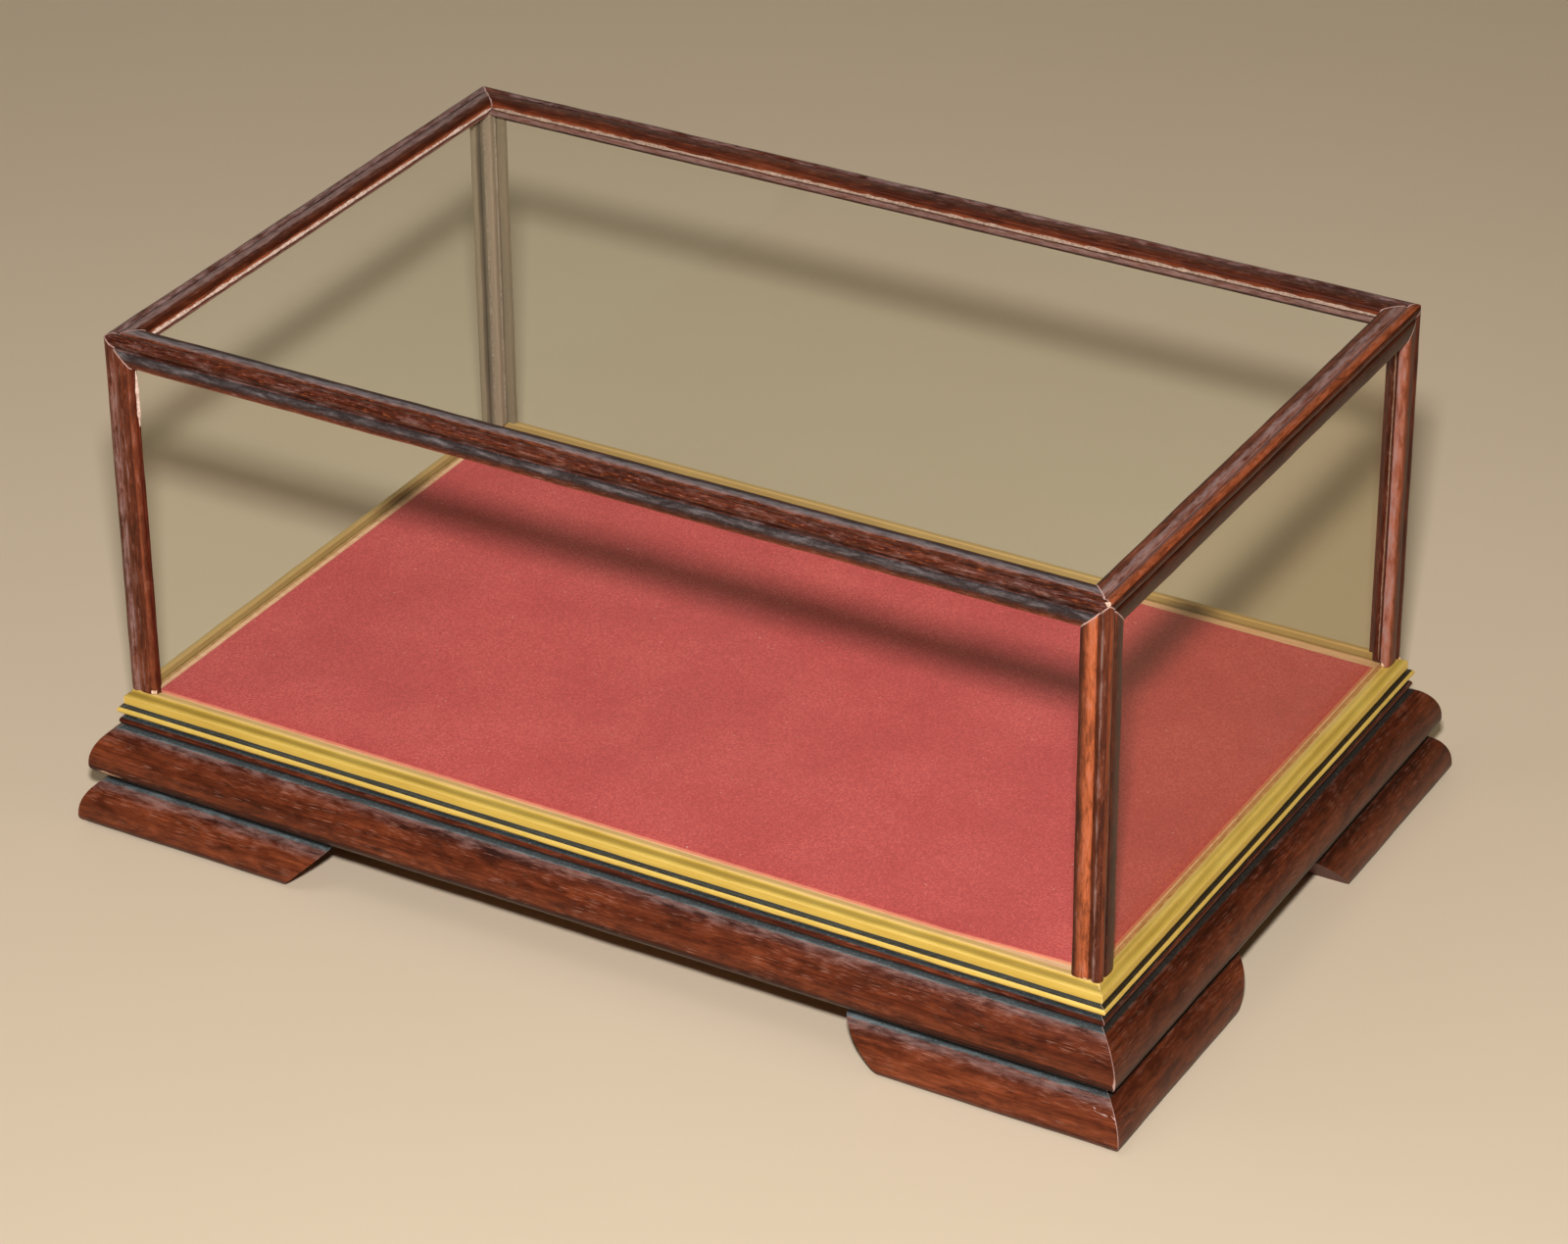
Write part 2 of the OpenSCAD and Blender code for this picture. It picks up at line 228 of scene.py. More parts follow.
# On the bars, dust along the flanks is partly a painted sheen and highlight, glow on the lit faces is partly
# a painted highlight, and shade on edges and on faces turned from the light is painted shade
BAR_LOOKS = {
    "rail_front": {
        "paint": {"bead": [0.45], "bead'": [0.5], "quirk": [0.2], "quirk'": [0.5],
                  "flank": [0.4, 0.6, 0.8, 0.7, 0.6], "flank'": [0.9, 0.8, 0.7, 0.5], "edge'": [0.2, 0],
                  "edge": [0.5]},
        "dust": {"flank": [0.5, 1.1, 1.2, 0.9, 0.4, 0], "flank'": [0.3, 0.6, 0.6, 0.2, 0], "bead": [0.4],
                 "bead'": [0.4], "quirk": [0.3], "quirk'": [0.5]},
        "glow": {"quirk": [0.3], "edge'": [0.2, 0.5], "inner'": [0.3, 0.1]},
        "shade": {"edge": [0.3, 0.5], "inner": [0.7]},
        "scuff": {"bead": [1], "bead'": [1], "quirk": [1], "flank": [1, 0.9, 0.8, 0.7], "flank'": [0.8, 1],
                  "quirk'": [0.8], "edge'": [0.6]},
    },
    "rail_right": {
        "dust": {"flank": [0.6, 0.8, 1, 0.6, 0.1, 0], "quirk": [1.4]},
        "glow": {"flank": [0.2, 0.2, 0, 0.1, 0.2], "quirk": [0.8], "bead": [0.5, 0.6]},
        "shade": {"flank'": [0.8], "edge'": [0.7], "quirk'": [0.7], "bead'": [0.5], "edge": [0.3],
                  "inner": [0.5]},
        "scuff": {"bead": [0.6], "quirk": [0.5], "flank": [0.4]},
    },
    "rail_back": {
        "paint": {"bead": [0.55], "quirk": [0.4], "flank": [0.4, 0.1]},
        "dust": {"bead": [0.7, 0.6], "bead'": [0.9], "quirk": [0.4], "flank": [0.4, 0.2, 0, 0],
                 "inside": [1.8], "inside'": [1.8]},
        "glow": {"inner": [0.2], "inside": [0.1]},
        "shade": {"edge": [0.2, 0.1]},
        "scuff": {"bead": [0.9], "flank": [0.8, 0.7]},
    },
    "rail_left": {
        "paint": {"bead": [0.5], "quirk": [0.5], "flank": [0.6, 0.5, 0.4, 0.3]},
        "dust": {"bead": [0.7, 0.8], "quirk": [0.6], "flank": [0.6, 1, 1.1, 0.8, 0.3, 0], "inside": [1.8],
                 "inside'": [1.8]},
        "glow": {"inner": [0.6], "inside": [0.3]},
        "shade": {"edge": [0.5, 0.5], "inner": [0.1], "bead'": [0.3]},
        "scuff": {"bead": [0.9], "flank": [0.9, 0.8, 0.7]},
    },
    "post_front_left": {
        "dust": {"bead": [0.3, 0.6, 0.9, 0.6], "quirk": [0.9, 1.0], "flank": [0.7, 0.3, 0.7, 0.3, 0.2, 0],
                 "edge": [0.5, 0.3]},
        "glow": {"flank": [0.2, 0.1, 0.1, 0], "edge": [0.3, 0], "bead": [0.1], "bead'": [0.3],
                 "quirk": [0.4]},
        "scuff": {"bead": [0.4], "flank": [0.4]},
    },
    "post_front_right": {
        "dust": {"bead": [0, 0.2, 0.9, 0.3], "quirk": [0.1], "flank": [0, 0.5, 0.4, 0.5, 0.1, 0]},
        "glow": {"flank": [0.6, 1, 0.9, 0.7, 0.4, 0], "quirk": [0.4], "bead": [0, 0.1, 0.1], "bead'": [0.2]},
        "shade": {"edge": [0.5, 0.6], "bead": [0.2, 0.1], "flank'": [0.6], "edge'": [0.7], "quirk'": [0.4],
                  "bead'": [0]},
        "scuff": {"bead": [0.4], "flank": [0.5], "quirk": [0.5]},
    },
    "post_back_right": {
        "dust": {"inner'": [0.9, 1.0, 1.1], "inside'": [0.6, 0.4], "inside": [0.6], "edge'": [0.6, 0.9]},
        "glow": {"inner'": [0.7, 0.6], "flank'": [0, 0, 0.1, 0.4], "edge'": [0.5, 0.7]},
        "shade": {"flank'": [0.6, 0.5, 0.2, 0], "quirk'": [0.5], "bead'": [0.4]},
    },
    "post_back_left": {
        "dust": {zone + prime: [1.2] for zone in ("bead", "quirk", "flank", "edge", "inner", "inside")
                 for prime in ("", "'")},
    },
}


# In an outline: the least distance between points, how far corners are rounded and finishes blend, and
# over what length a bend counts, and at what angle it counts fully: outward as worn, inward as a crease
LEAST_STEP, ROUNDING, BLEND, BEND_REACH, FULL_BEND = 0.06, 0.16, 0.12, 0.3, 0.9


class Outline:
    """A closed outline as evenly spaced points p with outward normals n and lengths s along it, and
    marks for what the surface is like at each."""

    def __init__(self, segments, look):
        points, zones, places = [], [], []
        for zone, corners in segments:
            spacing = SPACING[zone.rstrip("'")]
            lengths = [math.dist(a, b) for a, b in zip(corners, corners[1:])]
            done = 0.0
            for (x0, y0), (x1, y1), length in zip(corners, corners[1:], lengths):
                if length < 1e-6:
                    continue
                for t in np.arange(0, 1, 1 / max(1, round(length / spacing))):
                    points.append((x0 + (x1 - x0) * t, y0 + (y1 - y0) * t))
                    zones.append(zone)
                    along = (done + length * t) / sum(lengths)
                    places.append(1 - along if zone.endswith("'") else along)
                done += length
        p = np.array(points)
        keep = np.linalg.norm(p - np.roll(p, 1, axis=0), axis=1) > LEAST_STEP
        p, zones, places = p[keep], np.array(zones)[keep], np.array(places)[keep]
        step = np.linalg.norm(np.roll(p, -1, axis=0) - p, axis=1)
        self.s = np.concatenate([[0], np.cumsum(step)[:-1]])
        gap = np.abs(self.s[:, None] - self.s[None, :])
        gap = np.minimum(gap, step.sum() - gap)

        def spread(values, reach):
            k = np.exp(-0.5 * (gap / reach) ** 2) * (step + np.roll(step, 1))[None, :]
            return k @ values / k.sum(axis=1).reshape((-1,) + (1,) * (values.ndim - 1))

        self.hidden = zones == "hidden"
        self.p = np.where(self.hidden[:, None], p, spread(p, ROUNDING))
        tangent = np.roll(self.p, -1, axis=0) - np.roll(self.p, 1, axis=0)
        tangent /= np.linalg.norm(tangent, axis=1, keepdims=True) + 1e-12
        area = 0.5 * np.sum(p[:, 0] * np.roll(p[:, 1], -1) - np.roll(p[:, 0], -1) * p[:, 1])
        turn = 1 if area > 0 else -1
        self.n = turn * np.stack([tangent[:, 1], -tangent[:, 0]], axis=1)
        back, on = p - np.roll(p, 1, axis=0), np.roll(p, -1, axis=0) - p
        bend = turn * np.arctan2(back[:, 0] * on[:, 1] - back[:, 1] * on[:, 0], (back * on).sum(axis=1))
        bend = np.exp(-0.5 * (gap / BEND_REACH) ** 2) @ np.where(self.hidden, 0, bend)
        self.marks = {"wear": np.clip(bend / FULL_BEND, 0, 1), "crease": np.clip(-bend / FULL_BEND, 0, 1)}
        for finish in ("paint", "dust", "glow", "shade", "dash", "scuff", "bare"):
            levels = look.get(finish, {})
            values = [np.interp(at, np.linspace(0, 1, len(levels[z])), levels[z]) if z in levels else 0.0
                      for z, at in zip(zones, places)]
            self.marks[finish] = spread(np.array(values), BLEND)


# ---------------------------------------------------------------- sweeping a moulding

def waves(run, across, seed):
    """A slight unevenness of a hand-finished moulding, in millimetres."""
    local = np.random.default_rng(seed)
    total = np.zeros(np.broadcast(run, across).shape)
    longest, height = 74, 0.05
    for length in (longest, 41, 23, 13):
        phase, lean = local.uniform(0, 2 * math.pi), local.uniform(-0.5, 0.5)
        wave = np.sin(2 * math.pi * run / length + phase + lean * across)
        total += height * (length / longest) ** 0.6 * wave
    return total


def new_object(name, data):
    obj = bpy.data.objects.new(name, data)
    bpy.context.scene.collection.objects.link(obj)
    return obj


def mesh_object(name, verts, faces):
    mesh = bpy.data.meshes.new(name)
    mesh.from_pydata(verts.tolist(), [], faces)
    return new_object(name, mesh)


# How far a moulding's first rings are from its end, and a distance that counts as far from any mitre
NEAR_END = (0.0, 0.12, 0.3, 0.6, 1.1, 1.9, 3.0)
NO_MITRE = 50


def sweep(name, outline, start, end, place, seed, spacing=4.0, chips=(), fold=None, worn_ends=(1, 1),
          sheen_and_tone=1.0, veil=0.0, side_shade=0.0, mitre=1.0):
    """Runs an outline from start(p) to end(p) and closes both ends; place(run, u, v) gives the places.

    fold is the pair of outline points between which an end face folds. worn_ends says which ends show a
    mitre's pale line; a mitre below 1 widens those lines.
    chips are (run, outline point, reach along, reach across, depth) of knocks that show bare wood, of
    pale scratches where the depth is 0, and of a mitre that has opened where the reach along is 0.
    sheen_and_tone is how blue-grey the paint looks, partly its own tone and partly a painted sheen,
    veil how dusty the whole piece is, and side_shade how much painted shade darkens the whole piece."""
    p, n = outline.p, outline.n
    a, b = start(p), end(p)
    near = NEAR_END[-1]
    lo, hi = a.max() + near, b.min() - near
    middle = list(np.linspace(0, 1, max(2, int((hi - lo) / spacing)))[1:-1])
    for c_run, _, along, _, _ in [chip for chip in chips if chip[2]]:
        close = np.arange(c_run - 1.6 * along, c_run + 1.6 * along, along / 5)
        middle += [(x - lo) / (hi - lo) for x in close if lo < x < hi]
    middle = np.array(sorted(set(np.round(middle, 5))))
    length = b - near - (a + near)
    run = np.array([a + d for d in NEAR_END] + [a + near + length * t for t in middle]
                   + [b - d for d in reversed(NEAR_END)])
    rings, count = run.shape
    from_start, from_end = run - a, b - run
    seam = mitre * np.minimum(np.abs(from_start) + (0 if worn_ends[0] else NO_MITRE),
                              np.abs(from_end) + (0 if worn_ends[1] else NO_MITRE))
    shift = waves(run, outline.s[None, :], seed)
    # The ends' arrises are slightly rounded
    shift -= 0.10 * np.exp(-np.minimum(from_start, from_end) / 0.12)
    bare = np.repeat(outline.marks["bare"][None, :], rings, axis=0)
    for c_run, c_point, along, across, depth in chips:
        off = np.linalg.norm(p - np.array(c_point), axis=1)
        if not along:
            seam = seam * (1 - np.where(run * c_run > 0, 0.8 * np.exp(-(off[None, :] / across) ** 2), 0))
            continue
        r = np.sqrt(((run - c_run) / along) ** 2 + (off[None, :] / across) ** 2)
        ragged = 1 + 0.25 * np.sin(run * 2.1 + seed) * np.sin(off * 3.3 + seed)
        inside = np.clip((ragged - r) * 2.2, 0, 1)
        shift -= depth * inside
        if depth:
            bare = np.maximum(bare, inside)
        else:
            seam = np.minimum(seam, 0.2 * r)
    shift[:, outline.hidden] = 0
    moved = p[None, :, :] + shift[:, :, None] * n[None, :, :]
    verts = (place(run, moved[..., 0], moved[..., 1]) * MM).reshape(-1, 3)

    index = np.arange(rings * count).reshape(rings, count)
    after = np.roll(index, -1, axis=1)
    quads = np.stack([index[:-1], after[:-1], after[1:], index[1:]], axis=-1).reshape(-1, 4)
    first, last = index[0].tolist(), index[-1].tolist()
    if fold is None:
        ends = [first, last[::-1]]
    else:
        i, j = sorted(int(np.argmin(np.linalg.norm(p - np.array(f), axis=1))) for f in fold)
        (one, two), (three, four) = [(end[i:j + 1], end[j:] + end[:i + 1]) for end in (first, last)]
        ends = [one, two, three[::-1], four[::-1]]
    faces = quads.tolist() + ends
    w0, w1, w2, w3 = (verts[quads[:, k]] - verts.mean(axis=0) for k in range(4))
    if (w0 * np.cross(w1, w2)).sum() + (w0 * np.cross(w2, w3)).sum() < 0:
        faces = [face[::-1] for face in faces]
    obj = mesh_object(name, verts, faces)

    # grain is the place in the wood, and skin is the place on the surface: along and round the moulding
    mesh = obj.data
    offset = local_offset(seed)
    in_wood = run.reshape(-1) + offset
    grain = [in_wood, moved[..., 0].reshape(-1), moved[..., 1].reshape(-1)]
    skin = [in_wood, np.tile(outline.s, rings), np.full(rings * count, offset)]
    put(mesh, "grain", np.stack(grain, axis=1) * MM)
    put(mesh, "skin", np.stack(skin, axis=1) * MM)
    for key, values in outline.marks.items():
        put(mesh, key, bare if key == "bare" else np.tile(values, rings) + (side_shade if key == "shade" else 0))
    put(mesh, "seam", seam.reshape(-1) * MM)
    put(mesh, "sheen_and_tone", np.full(rings * count, sheen_and_tone))
    put(mesh, "veil", np.full(rings * count, veil))
    smooth_shade(mesh)
    mesh.polygons.foreach_set("material_index", np.repeat(np.int32([0, 1]), [len(quads), len(ends)]))
    return obj


def local_offset(seed):
    """Where in the wood a piece was cut from, so that no two pieces show the same grain."""
    return 613.0 * (seed % 17) + 89.0 * (seed % 5)


def put(mesh, name, values):
    """Keeps one number, or one vector of three, for each vertex."""
    values = np.asarray(values, dtype=np.float32)
    vector = values.size == 3 * len(mesh.vertices)
    attribute = mesh.attributes.new(name, "FLOAT_VECTOR" if vector else "FLOAT", "POINT")
    attribute.data.foreach_set("vector" if vector else "value", values.reshape(-1))


def smooth_shade(mesh, angle=38):
    mesh.polygons.foreach_set("use_smooth", np.ones(len(mesh.polygons), dtype=bool))
    mesh.set_sharp_from_angle(angle=math.radians(angle))
    mesh.update()


def finish_piece(obj, body, materials, replaces=()):
    for material in materials:
        obj.data.materials.append(material)
    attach(obj, body)
    if replaces:
        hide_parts(*replaces)


# ---------------------------------------------------------------- materials

def srgb(r, g, b):
    def linear(c):
        c /= 255
        return c / 12.92 if c <= 0.04045 else ((c + 0.055) / 1.055) ** 2.4
    return (linear(r), linear(g), linear(b), 1.0)


class Tree:
    """A material's nodes. Its methods add nodes and return an output socket, apart from add and surface."""

    def __init__(self, name):
        self.material = bpy.data.materials.new(name)
        self.material.use_nodes = True
        self.nodes = self.material.node_tree.nodes
        self.links = self.material.node_tree.links
        self.nodes.clear()

    def add(self, kind, inputs=(), **settings):
        node = self.nodes.new(kind)
        for key, value in settings.items():
            setattr(node, key, value)
        for key, value in dict(inputs).items():
            if isinstance(value, bpy.types.NodeSocket):
                self.links.new(value, node.inputs[key])
            else:
                node.inputs[key].default_value = value
        return node

    def attr(self, name, out="Fac"):
        return self.add("ShaderNodeAttribute", attribute_name=name, attribute_type="GEOMETRY").outputs[out]

    def place(self):
        return self.add("ShaderNodeTexCoord").outputs["Object"]

    def math(self, operation, a, b, clamp=False):
        return self.add("ShaderNodeMath", {0: a, 1: b}, operation=operation, use_clamp=clamp).outputs[0]

    def plus(self, a, b, clamp=False):
        return self.math("ADD", a, b, clamp)

    def minus(self, a, b):
        return self.math("SUBTRACT", a, b)

    def times(self, a, b, clamp=False):
        return self.math("MULTIPLY", a, b, clamp)

    def stretch(self, vector, scale, turn):
        return self.add("ShaderNodeMapping", {"Vector": vector, "Scale": scale, "Rotation": turn}).outputs[0]

    def noise(self, vector, scale, detail=3.0, rough=0.55, distort=0.0, turn=(0, 0, 0)):
        return self.add("ShaderNodeTexNoise", {"Vector": self.stretch(vector, scale, turn), "Scale": 1.0,
                                               "Detail": detail, "Roughness": rough,
                                               "Distortion": distort}).outputs["Fac"]

    def cells(self, vector, scale, out="Distance", turn=(0, 0, 0)):
        return self.add("ShaderNodeTexVoronoi", {"Vector": self.stretch(vector, scale, turn),
                                                 "Scale": 1.0}).outputs[out]

    def ease(self, value, low, high, to_low=0.0, to_high=1.0):
        """A smooth step from to_low to to_high as value goes from low to high."""
        return self.add("ShaderNodeMapRange", {"Value": value, "From Min": low, "From Max": high,
                                               "To Min": to_low, "To Max": to_high},
                        interpolation_type="SMOOTHSTEP").outputs[0]

    def ramp(self, value, stops):
        node = self.add("ShaderNodeValToRGB", {"Fac": value})
        band = node.color_ramp
        while len(band.elements) < len(stops):
            band.elements.new(0.5)
        for element, (position, colour) in zip(band.elements, stops):
            element.position, element.color = position, srgb(*colour)
        return node.outputs["Color"]

    def mix(self, share, a, b):
        """Mixes two colours; each is a socket or an sRGB triple, as in ramp's stops."""
        a, b = (srgb(*colour) if isinstance(colour, tuple) else colour for colour in (a, b))
        return self.add("ShaderNodeMix", {0: share, 6: a, 7: b}, data_type="RGBA").outputs[2]

    def blend(self, share, a, b):
        return self.add("ShaderNodeMix", {0: share, 2: a, 3: b}, data_type="FLOAT").outputs[0]

    def bump(self, height, distance, strength, normal=None):
        inputs = {"Height": height, "Distance": distance, "Strength": strength}
        if normal is not None:
            inputs["Normal"] = normal
        return self.add("ShaderNodeBump", inputs).outputs[0]

    def surface(self, shader):
        self.add("ShaderNodeOutputMaterial", {"Surface": shader})
        return self.material

    def principled(self, **inputs):
        named = {key.replace("_", " "): value for key, value in inputs.items()}
        return self.add("ShaderNodeBsdfPrincipled", named).outputs[0]


def patches(t, weight, noise, low=0.42, high=0.62, spread=0.9):
    """A ragged mask: full where weight is near 1, patchy in between."""
    return t.ease(t.plus(weight, t.times(t.minus(noise, 0.5), spread)), low, high)


def mitre_line(t, grain):
    """A mask of a mitre's pale hairline, which wanders a little."""
    wander = t.times(t.noise(grain, (300, 300, 300), detail=2), 0.00026)
    return t.ease(t.minus(t.attr("seam"), wander), -0.00006, 0.00005, 1.0, 0.0)


def mahogany(name, pores, contrast, worn, film_top=0.55, dark_paint=(56, 60, 60),
             fleck_paint=(128, 138, 138), cool_film=(132, 144, 146)):
    """Polished mahogany. The last three are the paint, its flecks and its film where most blue-grey, partly
    a painted sheen.
    """
    t = Tree(name)
    grain, skin = t.attr("grain", "Vector"), t.attr("skin", "Vector")
    sway = t.times(t.minus(t.noise(skin, (16, 70, 1), detail=2), 0.5), 0.0020)
    skin = t.add("ShaderNodeVectorMath", {0: skin, 1: t.add("ShaderNodeCombineXYZ", {"Y": sway}).outputs[0]},
                 operation="ADD").outputs[0]
    drift = t.noise(grain, (14, 90, 90), detail=3)
    streak = t.noise(skin, (26, 1400, 1), detail=4, rough=0.62)
    mottle = t.noise(skin, (90, 330, 1), detail=5, rough=0.66, distort=0.35)
    tone = t.plus(t.times(streak, 0.34), t.plus(t.times(drift, 0.28), t.times(mottle, 0.38)))
    tone = t.plus(0.5, t.times(t.minus(tone, 0.5), contrast))
    colour = t.ramp(tone, [(0.34, (42, 14, 6)), (0.46, (70, 26, 12)), (0.55, (90, 38, 19)),
                           (0.68, (124, 60, 34))])
    # Lighter where the polish has worn and as a painted highlight on lit faces, darker as painted shade
    glow = t.times(t.attr("glow"), t.ease(mottle, 0.32, 0.58, 0.35, 1.0))
    colour = t.mix(glow, colour, (190, 98, 56))
    colour = t.mix(t.times(t.attr("shade"), 0.72), colour, (30, 6, 0))
    # Short open pores filled with pale polish, in drifts
    spots = (150, 3900, 1)
    size = t.add("ShaderNodeSeparateColor", {0: t.cells(skin, spots, out="Color")}).outputs[0]
    pore = t.ease(t.minus(t.cells(skin, spots), t.times(size, 0.30)), 0.0, 0.12, 1.0, 0.0)
    some = t.plus(t.noise(skin, (40, 300, 1), detail=2), t.times(t.attr("dash"), 0.12))
    some = t.ease(some, 0.48, 0.64)
    pore = t.times(pore, t.times(some, pores))
    hair = t.ease(t.noise(skin, (70, 3800, 1), detail=2, rough=0.5), 0.56, 0.72)
    colour = t.mix(t.times(hair, 0.45), colour, (34, 12, 8))
    sheen_and_tone, scuffed = t.attr("sheen_and_tone"), t.attr("scuff")
    colour = t.mix(t.times(pore, t.ease(sheen_and_tone, 0.2, 0.6, 0.22, 0.42)), colour, (190, 134, 112))
    # Polish rubbed away along the arrises
    fine = t.noise(skin, (180, 900, 1), detail=4, rough=0.65)
    rubbed = patches(t, t.times(t.attr("wear"), worn), fine)
    colour = t.mix(t.times(rubbed, 0.6), colour, (150, 66, 34))
    # Scuffs through the polish, some dark and some pale
    scuff = t.noise(skin, (230, 1300, 1), detail=6, rough=0.78)
    share = t.times(scuffed, t.ease(scuff, 0.40, 0.50, 0.75, 0.0), clamp=True)
    colour = t.mix(share, colour, (34, 16, 14))
    share = t.times(scuffed, t.ease(scuff, 0.54, 0.66, 0.0, 0.6), clamp=True)
    colour = t.mix(share, colour, t.mix(t.ease(mottle, 0.42, 0.58), (196, 100, 48), (158, 132, 130)))
    # Dark paint in the quirks, and a grey film of dust and old wax that is partly a painted sheen and
    # highlight
    paint = patches(t, t.minus(t.attr("paint"), t.times(scuffed, 0.2)), scuff, 0.36, 0.60)
    fleck = t.ease(t.noise(skin, (700, 2300, 1), detail=3, rough=0.7), 0.52, 0.70)
    dark = t.mix(sheen_and_tone, (30, 18, 8), dark_paint)
    light = t.mix(sheen_and_tone, (70, 58, 46), fleck_paint)
    colour = t.mix(paint, colour, t.mix(t.times(fleck, 0.4), dark, light))
    dust = t.times(t.attr("dust"), t.ease(sheen_and_tone, 0.0, 1.0, 0.35, 1.0))
    film = t.times(patches(t, dust, mottle, 0.35, 0.9, 1.5), t.ease(fine, 0.34, 0.62, 0.28, film_top))
    pale = t.mix(t.times(paint, sheen_and_tone), (148, 122, 116), cool_film)
    colour = t.mix(film, colour, pale)
    colour = t.mix(t.attr("veil"), colour, (150, 136, 112))
    # Darker in the creases
    colour = t.mix(t.times(t.attr("crease"), 0.6), colour, (14, 10, 8))
    # Bare wood and the mitre's hairline
    bare = t.ease(t.attr("bare"), 0.35, 0.6)
    raw = t.ramp(streak, [(0.35, (184, 140, 110)), (0.6, (236, 204, 176))])
    colour = t.mix(bare, colour, raw)
    colour = t.mix(t.times(mitre_line(t, grain), 0.7), colour, (206, 170, 160))
    rough = t.blend(paint, t.blend(streak, 0.30, 0.42), 0.44)
    rough = t.blend(t.math("MAXIMUM", bare, t.times(film, 0.6)), rough, 0.7)
    height = t.minus(t.times(streak, 0.35), t.times(pore, 0.4))
    height = t.plus(height, t.times(t.times(fleck, paint), 0.4))
    normal = t.bump(height, 0.00012, 0.7)
    lumps = t.noise(grain, (120, 420, 420), detail=2)
    normal = t.bump(lumps, 0.00025, 0.5, normal)
    shader = t.principled(Base_Color=colour, Roughness=rough, Normal=normal, Specular_IOR_Level=0.2)
    return t.surface(shader)


def end_grain(name):
    t = Tree(name)
    grain = t.attr("grain", "Vector")
    dots = t.cells(grain, (200, 1700, 1700))
    rays = t.noise(grain, (100, 260, 1500), detail=4, rough=0.6)
    tone = t.blend(0.5, dots, rays)
    colour = t.ramp(tone, [(0.2, (40, 14, 10)), (0.5, (84, 34, 24)), (0.8, (122, 56, 38))])
    normal = t.bump(dots, 0.0001, 0.6)
    return t.surface(t.principled(Base_Color=colour, Roughness=0.6, Normal=normal))


def gilding(name):
    t = Tree(name)
    grain, skin = t.attr("grain", "Vector"), t.attr("skin", "Vector")
    cloud = t.noise(skin, (28, 240, 1), detail=4, rough=0.6)
    colour = t.ramp(cloud, [(0.30, (196, 160, 64)), (0.5, (212, 178, 78)), (0.7, (224, 194, 96))])
    # Painted shade in the hollow and the channel, and painted highlight on the arris and the bead
    colour = t.mix(t.times(t.attr("shade"), 0.6), colour, (128, 100, 24))
    colour = t.mix(t.times(t.attr("glow"), 0.4), colour, (240, 204, 96))
    fine = t.noise(skin, (260, 1300, 1), detail=4, rough=0.7)
    rubbed = patches(t, t.attr("wear"), fine, 0.5, 0.7)
    colour = t.mix(t.times(rubbed, 0.35), colour, (244, 208, 120))
    # A pale film of dust, which on the lip is partly a painted highlight
    film = patches(t, t.attr("dust"), cloud, 0.2, 0.9)
    colour = t.mix(t.times(film, 0.65), colour, (226, 184, 128))
    paint = patches(t, t.attr("paint"), t.noise(skin, (130, 500, 1), detail=3), 0.40, 0.52, 0.3)
    fleck = t.ease(t.noise(skin, (700, 2300, 1), detail=3, rough=0.7), 0.50, 0.70)
    # The paint's blue-grey flecks are partly a painted sheen
    sheen_and_tone = t.attr("sheen_and_tone")
    light = t.mix(sheen_and_tone, (60, 44, 22), (124, 132, 126))
    share = t.plus(t.times(fleck, 0.35), t.times(film, 0.35), clamp=True)
    dark = t.mix(share, t.mix(sheen_and_tone, (34, 22, 6), (50, 48, 38)), light)
    colour = t.mix(paint, colour, dark)
    # Darker in the creases
    colour = t.mix(t.times(t.attr("crease"), 0.5), colour, (40, 30, 10))
    ragged = t.ease(t.plus(t.attr("bare"), t.times(t.minus(fine, 0.5), 0.5)), 0.35, 0.6)
    raw = t.ramp(fine, [(0.35, (176, 122, 72)), (0.62, (218, 170, 118))])
    colour = t.mix(ragged, colour, raw)
    line = mitre_line(t, grain)
    colour = t.mix(t.times(line, 0.5), colour, (226, 204, 160))
    cover = t.math("MAXIMUM", paint, t.math("MAXIMUM", ragged, line))
    metal = t.blend(cover, 0.3, 0.0)
    rough = t.blend(cover, t.blend(cloud, 0.36, 0.5), 0.5)
    height = t.plus(t.times(fine, 0.3), t.times(t.times(fleck, paint), 0.5))
    normal = t.bump(height, 0.00010, 0.6)
    shader = t.principled(Base_Color=colour, Metallic=metal, Roughness=rough, Normal=normal)
    return t.surface(shader)


def softwood(name):
    t = Tree(name)
    place = t.place()
    rings = t.noise(place, (14, 320, 320), detail=4, rough=0.6, distort=0.4)
    fine = t.noise(place, (160, 2200, 2200), detail=3)
    tone = t.blend(0.35, rings, fine)
    colour = t.ramp(tone, [(0.3, (206, 152, 106)), (0.5, (234, 184, 140)), (0.7, (246, 204, 162))])
    normal = t.bump(fine, 0.00012, 0.6)
    return t.surface(t.principled(Base_Color=colour, Roughness=0.75, Normal=normal))


